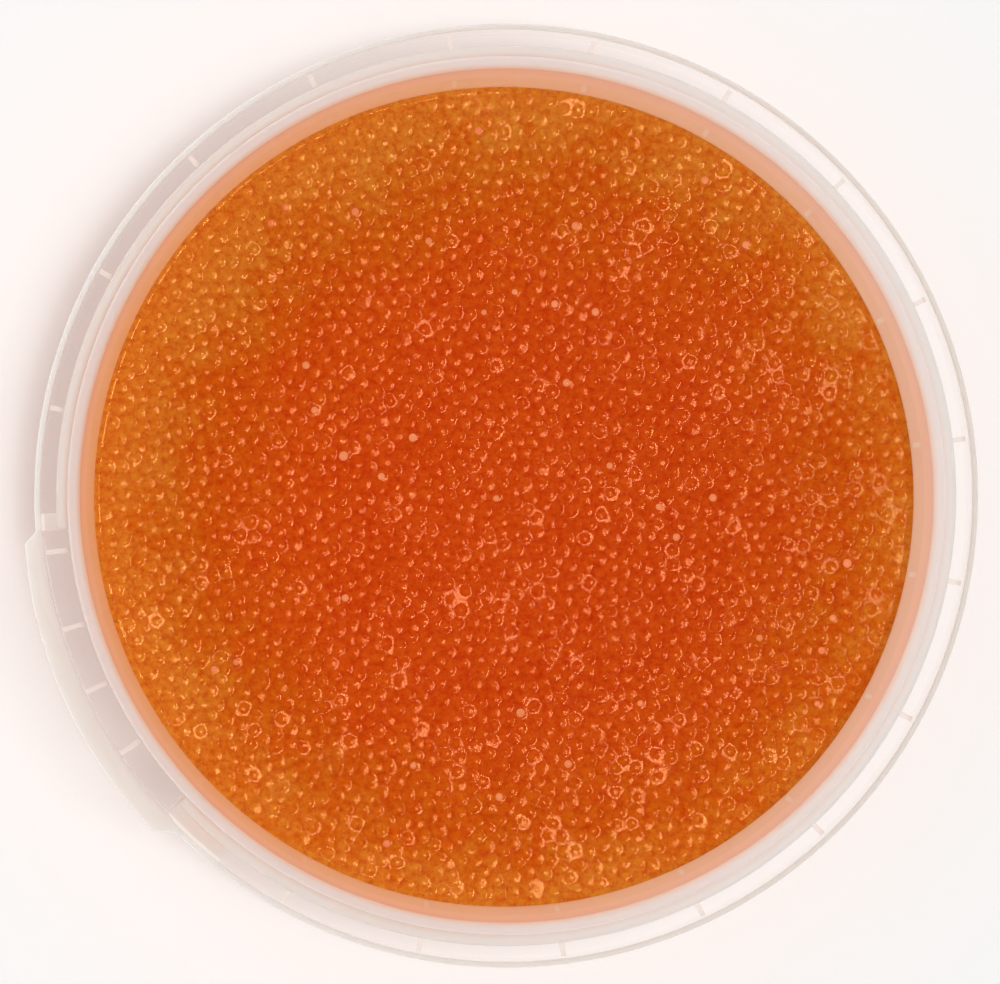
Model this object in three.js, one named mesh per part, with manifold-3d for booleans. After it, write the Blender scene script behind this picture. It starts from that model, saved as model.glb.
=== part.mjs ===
// An open round plastic tub, filled with vendace roe.
// Units are millimetres and +Z is up. The origin is under the tub's axis, on the surface it stands on.
// Angles are in degrees, counter-clockwise from +X seen from above.

import * as THREE from 'three';
import { mergeVertices } from 'three/addons/utils/BufferGeometryUtils.js';
import Module from 'manifold-3d';

const wasm = await Module();
wasm.setup();

// Driving dimensions of the tub's wall and floor
const tubHeight = 50;
const roundSides = 60;
const wallTaper = 0.1; // growth of the wall's radius for each millimetre of height
const wallThickness = 0.8;
const floorThickness = 0.9;
const footRecess = 0.7; // how far the floor's middle stands clear of the table
const footWidth = 1.8;
const cornerSize = 1.5;

// Driving dimensions of the rim, as radii and drops below the lip's top
const lipInner = 42.75;
const lipOuter = 44;
const lipDepth = 4;
const beadOuter = 45.15;
const beadDrop = 1.1;
const beadHeight = 1.7;
const ringInner = 46.7;
const ringOuter = 47.3;
const ringDrop = 0.8;
const ringHeight = 6.5;
const edgeBevel = 0.2;

// The ribs that carry the ring, and the tear-off tab that a thumb pushes
const ribCount = 20;
const ribStart = 7.1;
const ribThickness = 0.5;
const ribDrop = 4;
const tabStart = 184.1;
const tabEnd = 226.25;
const tabCornerStart = 185.8;
const tabCornerEnd = 223.4;
const tabInner = 46.5;
const tabReach = 45.65; // radius of the tab's outer arc about its own centre
const tabShift = 3.2; // distance of that centre from the axis
const tabShiftAngle = 213;
const tabPlate = 1;
const tabApronDepth = 4.6;
const tabApronWidth = 0.6;
const bridgeSpans = [
  [182.3, 184.4],
  [223.2, 231.8],
];
const bridgeDrop = 1.5;
const bridgeHeight = 2.2;

// The roe: eggs heaped to a nearly level surface
const roeLevel = 39.3;
const fitGap = 0.3;
const eggPitch = 1.6;
const eggRise = 0.28;
const eggSink = 0.2;
const eggScatter = 0.17; // sideways scatter, as a share of the pitch
const eggUnevenness = 0.14;
const swirl = 1.8; // how far the rows of eggs wander
const swirlLength = 10;
const roeSeed = 20250;

const tubColour = 0xe6d9d0;
const roeColour = 0xc8500f;

const degrees = THREE.MathUtils.degToRad;
const wallInnerAt = (z) => lipInner - wallTaper * (tubHeight - z);
const wallOuterAt = (z) => wallInnerAt(z) + wallThickness;

// Turns a closed geometry into a solid. Corners that meet are joined and empty triangles dropped.
function solidOf(geometry) {
  geometry.deleteAttribute('normal');
  geometry.deleteAttribute('uv');
  const merged = mergeVertices(geometry);
  const corners = merged.index.array;
  const kept = [];
  for (let i = 0; i < corners.length; i += 3) {
    const [a, b, c] = corners.slice(i, i + 3);
    if (a !== b && b !== c && c !== a) kept.push(a, b, c);
  }
  return new wasm.Manifold(
    new wasm.Mesh({
      numProp: 3,
      vertProperties: merged.attributes.position.array,
      triVerts: Uint32Array.from(kept),
    }),
  );
}

function geometryOf(solid) {
  const mesh = solid.getMesh();
  const geometry = new THREE.BufferGeometry();
  geometry.setAttribute('position', new THREE.BufferAttribute(mesh.vertProperties, 3));
  geometry.setIndex(new THREE.BufferAttribute(mesh.triVerts, 1));
  geometry.computeVertexNormals();
  return geometry;
}

// Spins a profile of [radius, height] pairs about the axis
function spun(profile) {
  const points = profile.map(([radius, z]) => new THREE.Vector2(radius, z));
  return solidOf(new THREE.LatheGeometry(points, roundSides).rotateX(Math.PI / 2));
}

// Raises a plan outline from one height to another
function raised(outline, bottom, top) {
  const flat = { depth: top - bottom, bevelEnabled: false, curveSegments: 6 };
  return solidOf(new THREE.ExtrudeGeometry(outline, flat).translate(0, 0, bottom));
}

// A plan outline between two radii and two angles
function sector(inner, outer, start, end) {
  const outline = new THREE.Shape();
  outline.absarc(0, 0, outer, degrees(start), degrees(end), false);
  outline.absarc(0, 0, inner, degrees(end), degrees(start), true);
  outline.closePath();
  return outline;
}

// The floor, the tapered wall and the lip, as one profile that starts and ends on the axis
function wallAndFloor() {
  const floorTop = footRecess + floorThickness;
  const footOuter = wallOuterAt(0) - cornerSize;
  const footInner = footOuter - footWidth;
  const under = tubHeight - lipDepth;
  return spun([
    [0, footRecess],
    [footInner - footRecess, footRecess],
    [footInner, 0],
    [footOuter, 0],
    [wallOuterAt(0) - 0.3 * cornerSize, 0.3 * cornerSize],
    [wallOuterAt(cornerSize), cornerSize],
    [wallOuterAt(under - 0.6), under - 0.6],
    [lipOuter, under],
    [lipOuter, tubHeight - 2 * edgeBevel],
    [lipOuter - 2 * edgeBevel, tubHeight],
    [lipInner + 2 * edgeBevel, tubHeight],
    [lipInner, tubHeight - 2 * edgeBevel],
    [wallInnerAt(floorTop + cornerSize), floorTop + cornerSize],
    [wallInnerAt(floorTop) - 0.3 * cornerSize, floorTop + 0.3 * cornerSize],
    [wallInnerAt(floorTop) - cornerSize, floorTop],
    [0, floorTop],
  ]);
}

// The bead that a lid snaps over: it runs round the outside of the lip, but not past the tab
function snapBead() {
  const top = tubHeight - beadDrop;
  const inner = lipOuter - 2 * edgeBevel;
  const bead = spun([
    [inner, top - beadHeight],
    [beadOuter - 2 * edgeBevel, top - beadHeight],
    [beadOuter, top - 2 * edgeBevel],
    [beadOuter - edgeBevel, top],
    [inner, top],
    [inner, top - beadHeight],
  ]);
  const gap = sector(lipOuter, beadOuter + 1, tabStart, tabCornerEnd);
  return bead.subtract(raised(gap, top - beadHeight - 1, top + 1));
}

// The outer ring: a thin upright band that guards the lid's edge
function guardRing() {
  const top = tubHeight - ringDrop;
  const bottom = top - ringHeight;
  return spun([
    [ringInner, bottom],
    [ringOuter, bottom],
    [ringOuter, top - edgeBevel],
    [ringOuter - edgeBevel, top],
    [ringInner + edgeBevel, top],
    [ringInner, top - edgeBevel],
    [ringInner, bottom],
  ]);
}

// One upright rib from the middle of the wall to the middle of the ring
function rib(angle) {
  const top = tubHeight - ribDrop;
  const bottom = tubHeight - ringDrop - ringHeight;
  const middle = (ringInner + ringOuter) / 2;
  const outline = new THREE.Shape([
    new THREE.Vector2(wallInnerAt(bottom) + wallThickness / 2, bottom + edgeBevel),
    new THREE.Vector2(middle, bottom + edgeBevel),
    new THREE.Vector2(middle, top),
    new THREE.Vector2(wallInnerAt(top) + wallThickness / 2, top),
  ]);
  const plate = new THREE.ExtrudeGeometry(outline, { depth: ribThickness, bevelEnabled: false });
  plate.rotateX(Math.PI / 2).translate(0, ribThickness / 2, 0).rotateZ(degrees(angle));
  return solidOf(plate);
}

// The tab's outer edge from one angle to another, on an arc set a little off the axis
function tabEdge(inset, start, end, count) {
  const points = [];
  for (let i = 0; i <= count; i += 1) {
    const angle = degrees(start + ((end - start) * i) / count);
    const off = degrees(tabShiftAngle) - angle;
    const reach = tabReach - inset + tabShift * Math.cos(off);
    points.push(new THREE.Vector2(reach * Math.cos(angle), reach * Math.sin(angle)));
  }
  return points;
}

// The tear-off tab: a flat plate on the ring with clipped corners, and an apron under its outer edge
function tab() {
  const top = tubHeight - ringDrop;
  const steps = 8;
  const middle = (ringInner + ringOuter) / 2;
  const plan = (start, end, inner) =>
    new THREE.Shape([
      ...tabEdge(0, tabCornerStart, tabCornerEnd, steps),
      new THREE.Vector2(middle * Math.cos(degrees(end)), middle * Math.sin(degrees(end))),
      ...inner,
      new THREE.Vector2(middle * Math.cos(degrees(start)), middle * Math.sin(degrees(start))),
    ]);
  const innerArc = [];
  for (let i = 0; i <= steps; i += 1) {
    const angle = degrees(tabCornerEnd + ((tabCornerStart - tabCornerEnd) * i) / steps);
    innerArc.push(new THREE.Vector2(tabInner * Math.cos(angle), tabInner * Math.sin(angle)));
  }
  const plate = raised(plan(tabStart, tabEnd, innerArc), top - tabPlate, top);
  const outer = tabEdge(0, tabCornerStart, tabCornerEnd, steps);
  const inner = tabEdge(tabApronWidth, tabCornerEnd, tabCornerStart, steps);
  const apron = raised(new THREE.Shape([...outer, ...inner]), top - tabApronDepth, top - tabPlate / 2);
  return plate.add(apron);
}

// The two solid webs that hold the ring on either side of the tab
function bridges() {
  const top = tubHeight - bridgeDrop;
  const middle = (ringInner + ringOuter) / 2;
  const inner = lipOuter - 2 * edgeBevel;
  const web = ([start, end]) => raised(sector(inner, middle, start, end), top - bridgeHeight, top);
  return bridgeSpans.map(web).reduce((all, one) => all.add(one));
}

function tub() {
  const ribs = [];
  for (let i = 0; i < ribCount; i += 1) ribs.push(rib(ribStart + (360 / ribCount) * i));
  const parts = [snapBead(), guardRing(), ...ribs, tab(), bridges()];
  return parts.reduce((all, one) => all.add(one), wallAndFloor());
}

// A repeatable stream of numbers from 0 to 1
function seeded(seed) {
  let state = seed;
  return () => {
    state = (state + 0x6d2b79f5) | 0;
    let mixed = Math.imul(state ^ (state >>> 15), 1 | state);
    mixed = (mixed + Math.imul(mixed ^ (mixed >>> 7), 61 | mixed)) ^ mixed;
    return ((mixed ^ (mixed >>> 14)) >>> 0) / 4294967296;
  };
}

// A square block whose top is all egg-sized bumps: each has four flat faces, with hollows at its corners.
// The rows wander and each bump is scattered, so no two are alike.
function bumpyBlock(bottom) {
  const random = seeded(roeSeed);
  const half = Math.ceil(wallInnerAt(roeLevel) / eggPitch) + 2;
  const across = 2 * half + 1;
  const positions = [];
  const place = (column, row, z) => {
    const u = (column - half) * eggPitch;
    const v = (row - half) * eggPitch;
    const x = u + swirl * Math.sin(v / swirlLength) + eggScatter * eggPitch * (2 * random() - 1);
    const y = v + swirl * Math.sin(u / swirlLength) + eggScatter * eggPitch * (2 * random() - 1);
    positions.push(x, y, z + eggUnevenness * (2 * random() - 1));
    return positions.length / 3 - 1;
  };
  const hollows = [];
  for (let row = 0; row < across; row += 1) {
    for (let column = 0; column < across; column += 1) {
      hollows.push(place(column - 0.5, row - 0.5, roeLevel - eggSink));
    }
  }
  const index = [];
  for (let row = 0; row < across - 1; row += 1) {
    for (let column = 0; column < across - 1; column += 1) {
      const crown = place(column, row, roeLevel + eggRise);
      const at = row * across + column;
      const corners = [hollows[at], hollows[at + 1], hollows[at + across + 1], hollows[at + across]];
      corners.forEach((corner, i) => index.push(crown, corner, corners[(i + 1) % 4]));
    }
  }
  const edge = [];
  for (let i = 0; i < across - 1; i += 1) edge.push(i);
  for (let i = 0; i < across - 1; i += 1) edge.push(i * across + across - 1);
  for (let i = across - 1; i > 0; i -= 1) edge.push((across - 1) * across + i);
  for (let i = across - 1; i > 0; i -= 1) edge.push(i * across);
  const feet = edge.map((corner) => {
    positions.push(positions[3 * corner], positions[3 * corner + 1], bottom);
    return positions.length / 3 - 1;
  });
  positions.push(0, 0, bottom);
  const centre = positions.length / 3 - 1;
  edge.forEach((corner, i) => {
    const next = (i + 1) % edge.length;
    index.push(corner, feet[i], feet[next], corner, feet[next], edge[next]);
    index.push(centre, feet[next], feet[i]);
  });
  const geometry = new THREE.BufferGeometry();
  geometry.setAttribute('position', new THREE.Float32BufferAttribute(positions, 3));
  geometry.setIndex(index);
  return solidOf(geometry);
}

// The roe fills the tub to its level, with a hair's gap to the wall and floor
function roe() {
  const bottom = footRecess + floorThickness + fitGap;
  const above = roeLevel + 2;
  const plug = spun([
    [0, bottom],
    [wallInnerAt(bottom) - cornerSize - fitGap, bottom],
    [wallInnerAt(bottom) - 0.3 * cornerSize - fitGap, bottom + 0.3 * cornerSize],
    [wallInnerAt(bottom + cornerSize) - fitGap, bottom + cornerSize],
    [wallInnerAt(above) - fitGap, above],
    [0, above],
  ]);
  return plug.intersect(bumpyBlock(bottom - 1));
}

function named(name, solid, colour, roughness) {
  const material = new THREE.MeshStandardMaterial({ color: colour, roughness, metalness: 0 });
  const mesh = new THREE.Mesh(geometryOf(solid), material);
  mesh.name = name;
  return mesh;
}

const group = new THREE.Group();
group.add(named('tub', tub(), tubColour, 0.35));
group.add(named('roe', roe(), roeColour, 0.15));

export default group;
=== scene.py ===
# %% [markdown]
# # A tub of vendace roe
# The object is an open plastic tub, about 95 mm across, filled with small orange fish eggs.
# The solid model already fixes every size. This lesson dresses it in three steps: a smooth milky
# tub, a bed of some thousands of wet eggs, and the light that makes each egg shine.

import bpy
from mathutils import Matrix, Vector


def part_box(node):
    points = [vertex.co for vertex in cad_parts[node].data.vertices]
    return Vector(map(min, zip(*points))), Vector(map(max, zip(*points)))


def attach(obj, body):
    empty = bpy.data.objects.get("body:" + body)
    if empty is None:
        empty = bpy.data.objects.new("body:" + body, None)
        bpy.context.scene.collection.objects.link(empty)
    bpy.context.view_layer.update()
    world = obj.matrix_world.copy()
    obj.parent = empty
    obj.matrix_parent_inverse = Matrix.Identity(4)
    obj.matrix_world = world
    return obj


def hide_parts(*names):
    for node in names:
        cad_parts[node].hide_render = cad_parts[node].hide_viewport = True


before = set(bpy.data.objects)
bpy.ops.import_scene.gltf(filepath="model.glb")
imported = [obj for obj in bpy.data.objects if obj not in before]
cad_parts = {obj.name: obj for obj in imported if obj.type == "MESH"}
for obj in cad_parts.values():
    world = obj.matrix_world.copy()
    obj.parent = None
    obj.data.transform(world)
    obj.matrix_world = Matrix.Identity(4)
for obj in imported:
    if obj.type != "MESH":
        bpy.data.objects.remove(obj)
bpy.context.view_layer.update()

# %% [markdown]
# ## Sizes
# Lengths are worked out in millimetres, since the tub's maker would think in them, and only the
# finished mesh is scaled to metres. The heights and the outer radius come from the solid model.

# %% Sizes of the tub in millimetres
import math

import bmesh
import bpy
import numpy as np
from mathutils import Matrix, Vector
from mathutils.geometry import delaunay_2d_cdt

MM = 0.001
TUB_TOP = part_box("tub")[1].z / MM
RING_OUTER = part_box("tub")[1].x / MM
RING_INNER = RING_OUTER - 0.6
RING_TOP = TUB_TOP - 0.8
RING_BOTTOM = RING_TOP - 6.5
LIP_INNER = 42.75
LIP_OUTER = 44.0
LIP_UNDER = TUB_TOP - 4.0
BEAD_OUTER = 45.15
BEAD_TOP = TUB_TOP - 1.1
BEAD_BOTTOM = BEAD_TOP - 1.7
WALL = 0.8
TAPER = 0.1
FLOOR_UNDER = 0.7
FLOOR_TOP = 1.6
FOOT_WIDTH = 1.8
CORNER = 1.6

RIBS = 20
RIB_FIRST = 7.1
RIBS_BEHIND_TAB = (196.9, 213.8)
RIB_WIDTH = 0.5
RIB_TOP = TUB_TOP - 4.0

TAB_SPAN = (184.1, 226.25)
TAB_FLAT = (185.8, 223.4)
TAB_INNER = 46.5
TAB_REACH = 45.65
TAB_SHIFT = 3.2
TAB_SHIFT_ANGLE = 213.0
TAB_PLATE = 1.0
APRON_DEPTH = 4.6
APRON_WIDTH = 0.6
WEB_SPANS = ((182.3, 184.4), (223.2, 231.8))
WEB_TOP = TUB_TOP - 1.5
WEB_BOTTOM = WEB_TOP - 2.2


def wall_inner(z):
    """Inner radius of the tub at height z: it grows by TAPER for each millimetre of height."""
    return LIP_INNER - TAPER * (TUB_TOP - z)


def wall_outer(z):
    """Outer radius of the tub at height z."""
    return wall_inner(z) + WALL


print(f"tub {2 * RING_OUTER:.1f} mm across and {TUB_TOP:.1f} mm high")

# %% [markdown]
# ## Helpers for surfaces
# A turned or swept piece is a grid of points: one direction runs along a profile, the other along
# a path. The helpers build the whole grid as one array, and join rows that fall on one point.

# %% Mesh helpers
MERGE = 1e-7
SHARP_ANGLE = math.radians(38)


def mesh_from(name, points, faces):
    """An object from points in millimetres and faces as lists of point numbers."""
    mesh = bpy.data.meshes.new(name)
    mesh.from_pydata((np.asarray(points) * MM).tolist(), [], faces)
    piece = bpy.data.objects.new(name, mesh)
    bpy.context.scene.collection.objects.link(piece)
    return piece


def tidy(piece):
    """Joins points that fall together and turns all faces outwards."""
    work = bmesh.new()
    work.from_mesh(piece.data)
    bmesh.ops.remove_doubles(work, verts=work.verts, dist=MERGE)
    bmesh.ops.dissolve_degenerate(work, edges=work.edges, dist=MERGE)
    bmesh.ops.recalc_face_normals(work, faces=work.faces)
    work.to_mesh(piece.data)
    work.free()
    return piece


def grid_faces(rows, columns, wrap_rows, wrap_columns):
    """Four-sided faces of a grid of points numbered row by row, closed round where asked."""
    down = np.arange(rows if wrap_rows else rows - 1)
    over = np.arange(columns if wrap_columns else columns - 1)
    row, column = np.meshgrid(down, over, indexing="ij")
    below, beside = (row + 1) % rows, (column + 1) % columns
    here, there = row * columns, below * columns
    corners = [here + column, here + beside, there + beside, there + column]
    return np.stack(corners, -1).reshape(-1, 4).tolist()


def rounded(corners, radii, steps=5):
    """A closed outline with each corner P eased by its radius: a parabola from P + r * (towards
    the corner before) to P + r * (towards the corner after), with P as its control point."""
    corners, radii = np.asarray(corners, float), np.asarray(radii, float)
    before, after = np.roll(corners, 1, 0) - corners, np.roll(corners, -1, 0) - corners
    before /= np.linalg.norm(before, axis=1, keepdims=True)
    after /= np.linalg.norm(after, axis=1, keepdims=True)
    start, end = corners + radii[:, None] * before, corners + radii[:, None] * after
    t = np.linspace(0, 1, steps)[None, :, None]
    curve = (1 - t) ** 2 * start[:, None] + 2 * t * (1 - t) * corners[:, None] + t**2 * end[:, None]
    keep = np.ones(curve.shape[:2], bool)
    keep[radii == 0, 1:] = False
    return curve[keep]


def turned(name, outline, start=0.0, end=360.0, step=1.5):
    """A closed outline of (radius, height) turned about Z: x = r cos a, y = r sin a, z = height."""
    whole = end - start >= 360
    count = round((end - start) / step) + (0 if whole else 1)
    angles = np.radians(start + (end - start) * np.arange(count) / (count if whole else count - 1))
    r, z = np.asarray(outline).T
    points = np.stack(np.broadcast_arrays(r * np.cos(angles)[:, None], r * np.sin(angles)[:, None], z), -1)
    faces = grid_faces(count, len(r), whole, True)
    if not whole:
        faces += [list(range(len(r))), list(range((count - 1) * len(r), count * len(r)))]
    return tidy(mesh_from(name, points.reshape(-1, 3), faces))


def swept(name, section, frames):
    """A closed section of (across, up) carried along frames: each frame is an origin and the two
    directions that the section's numbers are measured in. Both ends are capped."""
    across, upward = section[:, :1], section[:, 1:]
    rows = [np.asarray(o) + across * np.asarray(a) + upward * np.asarray(u) for o, a, u in frames]
    points = np.concatenate(rows)
    size = len(section)
    faces = grid_faces(len(frames), size, False, True)
    faces += [list(range(size)), list(range(len(points) - size, len(points)))]
    return tidy(mesh_from(name, points, faces))


def joined(pieces, name):
    """Several meshes as one object."""
    points, faces = [], []
    for piece in pieces:
        base = len(points)
        points += [v.co[:] for v in piece.data.vertices]
        faces += [[base + v for v in p.vertices] for p in piece.data.polygons]
        bpy.data.objects.remove(piece)
    return mesh_from(name, np.array(points) / MM, faces)


def fused(base, extra):
    """Adds extra to base as one solid, with a Boolean union."""
    union = base.modifiers.new("union", "BOOLEAN")
    union.operation, union.solver, union.object = "UNION", "MANIFOLD", extra
    graph = bpy.context.evaluated_depsgraph_get()
    result = bpy.data.meshes.new_from_object(base.evaluated_get(graph))
    base.modifiers.clear()
    result.materials.clear()
    base.data = result
    bpy.data.objects.remove(extra)
    return base


# %% [markdown]
# ## The tub
# The real tub is one moulding. Its wall, floor and lip are round, so they are one outline turned
# about the axis, with every corner eased as a mould's is. The lid's bead, the guard ring, the
# ribs, the tab and the two webs beside it are made the same way and then fused to it, so that no
# wall is hidden inside another: hidden walls would show through milky plastic.

# %% Wall, floor and lip
foot_outer = wall_outer(0)
foot_inner = foot_outer - CORNER - FOOT_WIDTH
tub_outline = rounded(
    [
        (0, FLOOR_UNDER),
        (foot_inner - FLOOR_UNDER, FLOOR_UNDER),
        (foot_inner, 0),
        (foot_outer, 0),
        (wall_outer(LIP_UNDER - 0.6), LIP_UNDER - 0.6),
        (LIP_OUTER, LIP_UNDER),
        (LIP_OUTER, TUB_TOP),
        (LIP_INNER, TUB_TOP),
        (wall_inner(FLOOR_TOP), FLOOR_TOP),
        (0, FLOOR_TOP),
    ],
    [0, 0.3, 0.3, CORNER, 0.4, 0.3, 0.45, 0.5, CORNER, 0],
)
tub = turned("milky_tub", tub_outline)
print("wall, floor and lip:", len(tub.data.polygons), "faces")

# %% [markdown]
# ### Bead and guard ring
# A lid snaps over the bead, and the thin ring outside it shows whether the tub was opened. Both
# could be moulded by hand from a circle, but a small closed outline turned about the axis keeps
# their sizes exact. The bead stops at the tab, where the real one does.

# %% Bead and guard ring
bead_inner = LIP_OUTER - 0.4
bead = turned(
    "bead",
    rounded(
        [
            (bead_inner, BEAD_BOTTOM),
            (BEAD_OUTER, BEAD_BOTTOM),
            (BEAD_OUTER, BEAD_TOP),
            (bead_inner, BEAD_TOP),
        ],
        [0, 0.6, 0.4, 0],
    ),
    TAB_FLAT[1] - 360,
    TAB_SPAN[0],
)
ring = turned(
    "ring",
    rounded(
        [
            (RING_INNER, RING_BOTTOM),
            (RING_OUTER, RING_BOTTOM),
            (RING_OUTER, RING_TOP),
            (RING_INNER, RING_TOP),
        ],
        [0.12, 0.2, 0.25, 0.15],
    ),
)
print("bead and ring:", len(bead.data.polygons) + len(ring.data.polygons), "faces")

# %% [markdown]
# ### Ribs
# Twenty thin ribs carry the ring, and two more stand behind the tab. Each is a section with a
# rounded top edge, carried from the middle of the tapered wall to the middle of the ring. The
# wall leans, so the section's foot starts further in than its top: the first frame leans with it.

# %% Ribs
ring_middle = (RING_INNER + RING_OUTER) / 2
rib_bottom = RING_BOTTOM + 0.2
rib_section = rounded(
    [(-RIB_WIDTH / 2, 0), (RIB_WIDTH / 2, 0), (RIB_WIDTH / 2, 1), (-RIB_WIDTH / 2, 1)], [0, 0, 0.02, 0.02], 3
)


def rib(angle):
    """One rib at an angle in degrees: the section's height runs from rib_bottom to RIB_TOP."""
    out = np.array([math.cos(math.radians(angle)), math.sin(math.radians(angle)), 0])
    side = np.array([-out[1], out[0], 0])
    height = RIB_TOP - rib_bottom
    lean = np.array([0, 0, height]) + out * TAPER * height
    foot = out * (wall_inner(rib_bottom) + WALL / 2) + np.array([0, 0, rib_bottom])
    end = out * ring_middle + np.array([0, 0, rib_bottom])
    return swept("rib", rib_section, [(foot, side, lean), (end, side, np.array([0, 0, height]))])


rib_angles = [RIB_FIRST + 360 / RIBS * i for i in range(RIBS)] + list(RIBS_BEHIND_TAB)
ribs = joined([rib(angle) for angle in rib_angles], "ribs")
print("ribs:", len(ribs.data.polygons), "faces")

# %% [markdown]
# ### Tear-off tab
# The tab is a flat plate on the ring, with clipped corners and an apron that hangs from its outer
# edge. The plate is its plan outline carried upwards, drawn in a little at its top edge.

# %% Tab and webs
TAB_STEPS = 40


def on_circle(radius, degrees):
    """Points at a radius and some angles about the axis."""
    a = np.radians(degrees)
    return np.stack([radius * np.cos(a), radius * np.sin(a)], -1)


def tab_edge(inset, degrees):
    """The tab's outer edge: an arc of TAB_REACH whose centre lies TAB_SHIFT off the axis."""
    return on_circle(TAB_REACH - inset + TAB_SHIFT * np.cos(np.radians(degrees - TAB_SHIFT_ANGLE)), degrees)


def slab(name, outline, levels):
    """A plan outline carried upwards: levels are (height, how far the outline is drawn in)."""
    along = np.roll(outline, -1, 0) - np.roll(outline, 1, 0)
    outward = np.stack([along[:, 1], -along[:, 0]], -1) / np.linalg.norm(along, axis=1, keepdims=True)
    rows = [np.c_[outline - inset * outward, np.full(len(outline), z)] for z, inset in levels]
    size = len(outline)
    faces = grid_faces(len(rows), size, False, True)
    faces += [list(range(size)), list(range((len(rows) - 1) * size, len(rows) * size))]
    return tidy(mesh_from(name, np.concatenate(rows), faces))


sweep = np.linspace(TAB_FLAT[0], TAB_FLAT[1], TAB_STEPS)
tab_plan = np.concatenate(
    [
        tab_edge(0, sweep),
        on_circle(ring_middle, np.array([TAB_SPAN[1]])),
        on_circle(TAB_INNER, sweep[::-1]),
        on_circle(ring_middle, np.array([TAB_SPAN[0]])),
    ]
)
tab_top = RING_TOP + 0.04
tab_levels = [(tab_top - TAB_PLATE, 0), (tab_top - 0.2, 0), (tab_top - 0.06, 0.05), (tab_top, 0.18)]
tab = slab("tab", tab_plan, tab_levels)
apron_section = rounded(
    [(0, -APRON_DEPTH), (APRON_WIDTH, -APRON_DEPTH), (APRON_WIDTH, -0.5), (0, -0.5)], [0.2, 0.2, 0, 0]
)
apron_path = tab_edge(APRON_WIDTH + 0.02, sweep)
outward = apron_path / np.linalg.norm(apron_path, axis=1, keepdims=True)
apron = swept(
    "apron",
    apron_section,
    [((x, y, tab_top), (u, v, 0), (0, 0, 1)) for (x, y), (u, v) in zip(apron_path, outward)],
)
web_section = rounded(
    [(bead_inner, WEB_BOTTOM), (ring_middle, WEB_BOTTOM), (ring_middle, WEB_TOP), (bead_inner, WEB_TOP)],
    [0, 0, 0, 0],
)
webs = joined([turned("web", web_section, *span, step=0.6) for span in WEB_SPANS], "webs")
print("tab:", len(tab.data.polygons), "faces, webs:", len(webs.data.polygons), "faces")

# %% Fuse the tub
for extra in (bead, ring, ribs, webs, tab, apron):
    tub = fused(tub, extra)
tub.data.shade_smooth()
tub.data.set_sharp_from_angle(angle=SHARP_ANGLE)
print("tub:", len(tub.data.vertices), "points,", len(tub.data.polygons), "faces")

# %% [markdown]
# ## The roe
# Real roe settles so that each egg presses on its neighbours, and a film of clear liquid bridges
# the gaps. Seen from above the surface is a mosaic: every egg owns the ground nearer to it than to
# any other egg. That mosaic is worked out from the eggs' places, and each tile is then raised to
# a dome that runs out, at the tile's edge, into the hollow curve of the liquid.

# %% Places of the eggs
EGG_PITCH = 1.53
ROE_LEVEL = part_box("roe")[1].z / MM - 0.42
ROE_RADIUS = wall_inner(ROE_LEVEL)
FILM = 0.6
EGG_ZONE = ROE_RADIUS - FILM
SEED = 938
EGG_UNEVEN = 0.11
STRAY = 0.36
PUSH = 0.45
SETTLE = 0.35
rng = np.random.default_rng(SEED)


def scattered(radius, pitch, rounds=10):
    """Places in a disc: rows of a triangular net, each place moved at random, then pushed from
    any neighbour nearer than the sum of their half sizes by part of the shortfall, again and
    again. The half sizes differ from egg to egg."""
    rows = np.arange(-math.ceil(radius / pitch * 1.2), math.ceil(radius / pitch * 1.2) + 1)
    column, row = np.meshgrid(rows, rows)
    net = np.stack([(column + 0.5 * (row % 2)) * pitch, row * pitch * math.sqrt(3) / 2], -1).reshape(-1, 2)
    net += rng.normal(0, STRAY * pitch, net.shape)
    net = net[np.hypot(*net.T) < radius - 0.3 * pitch]
    half = pitch / 2 * np.clip(rng.normal(0.98, EGG_UNEVEN, len(net)), 0.72, 1.2)
    for _ in range(rounds):
        gap = net[:, None] - net[None]
        far = np.hypot(gap[..., 0], gap[..., 1]) + np.eye(len(net)) * radius
        push = np.clip(half[:, None] + half[None] - far, 0, None) / far
        net = net + PUSH * (gap * push[..., None]).sum(1)
        reach = np.hypot(*net.T)
        net *= np.minimum(1, (radius - 0.42 * pitch) / reach)[:, None]
    return net


eggs = scattered(EGG_ZONE, EGG_PITCH)
print("eggs in the surface:", len(eggs))

# %% Tiles of the mosaic
GHOST_REACH = 2.2 * EGG_PITCH


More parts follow.
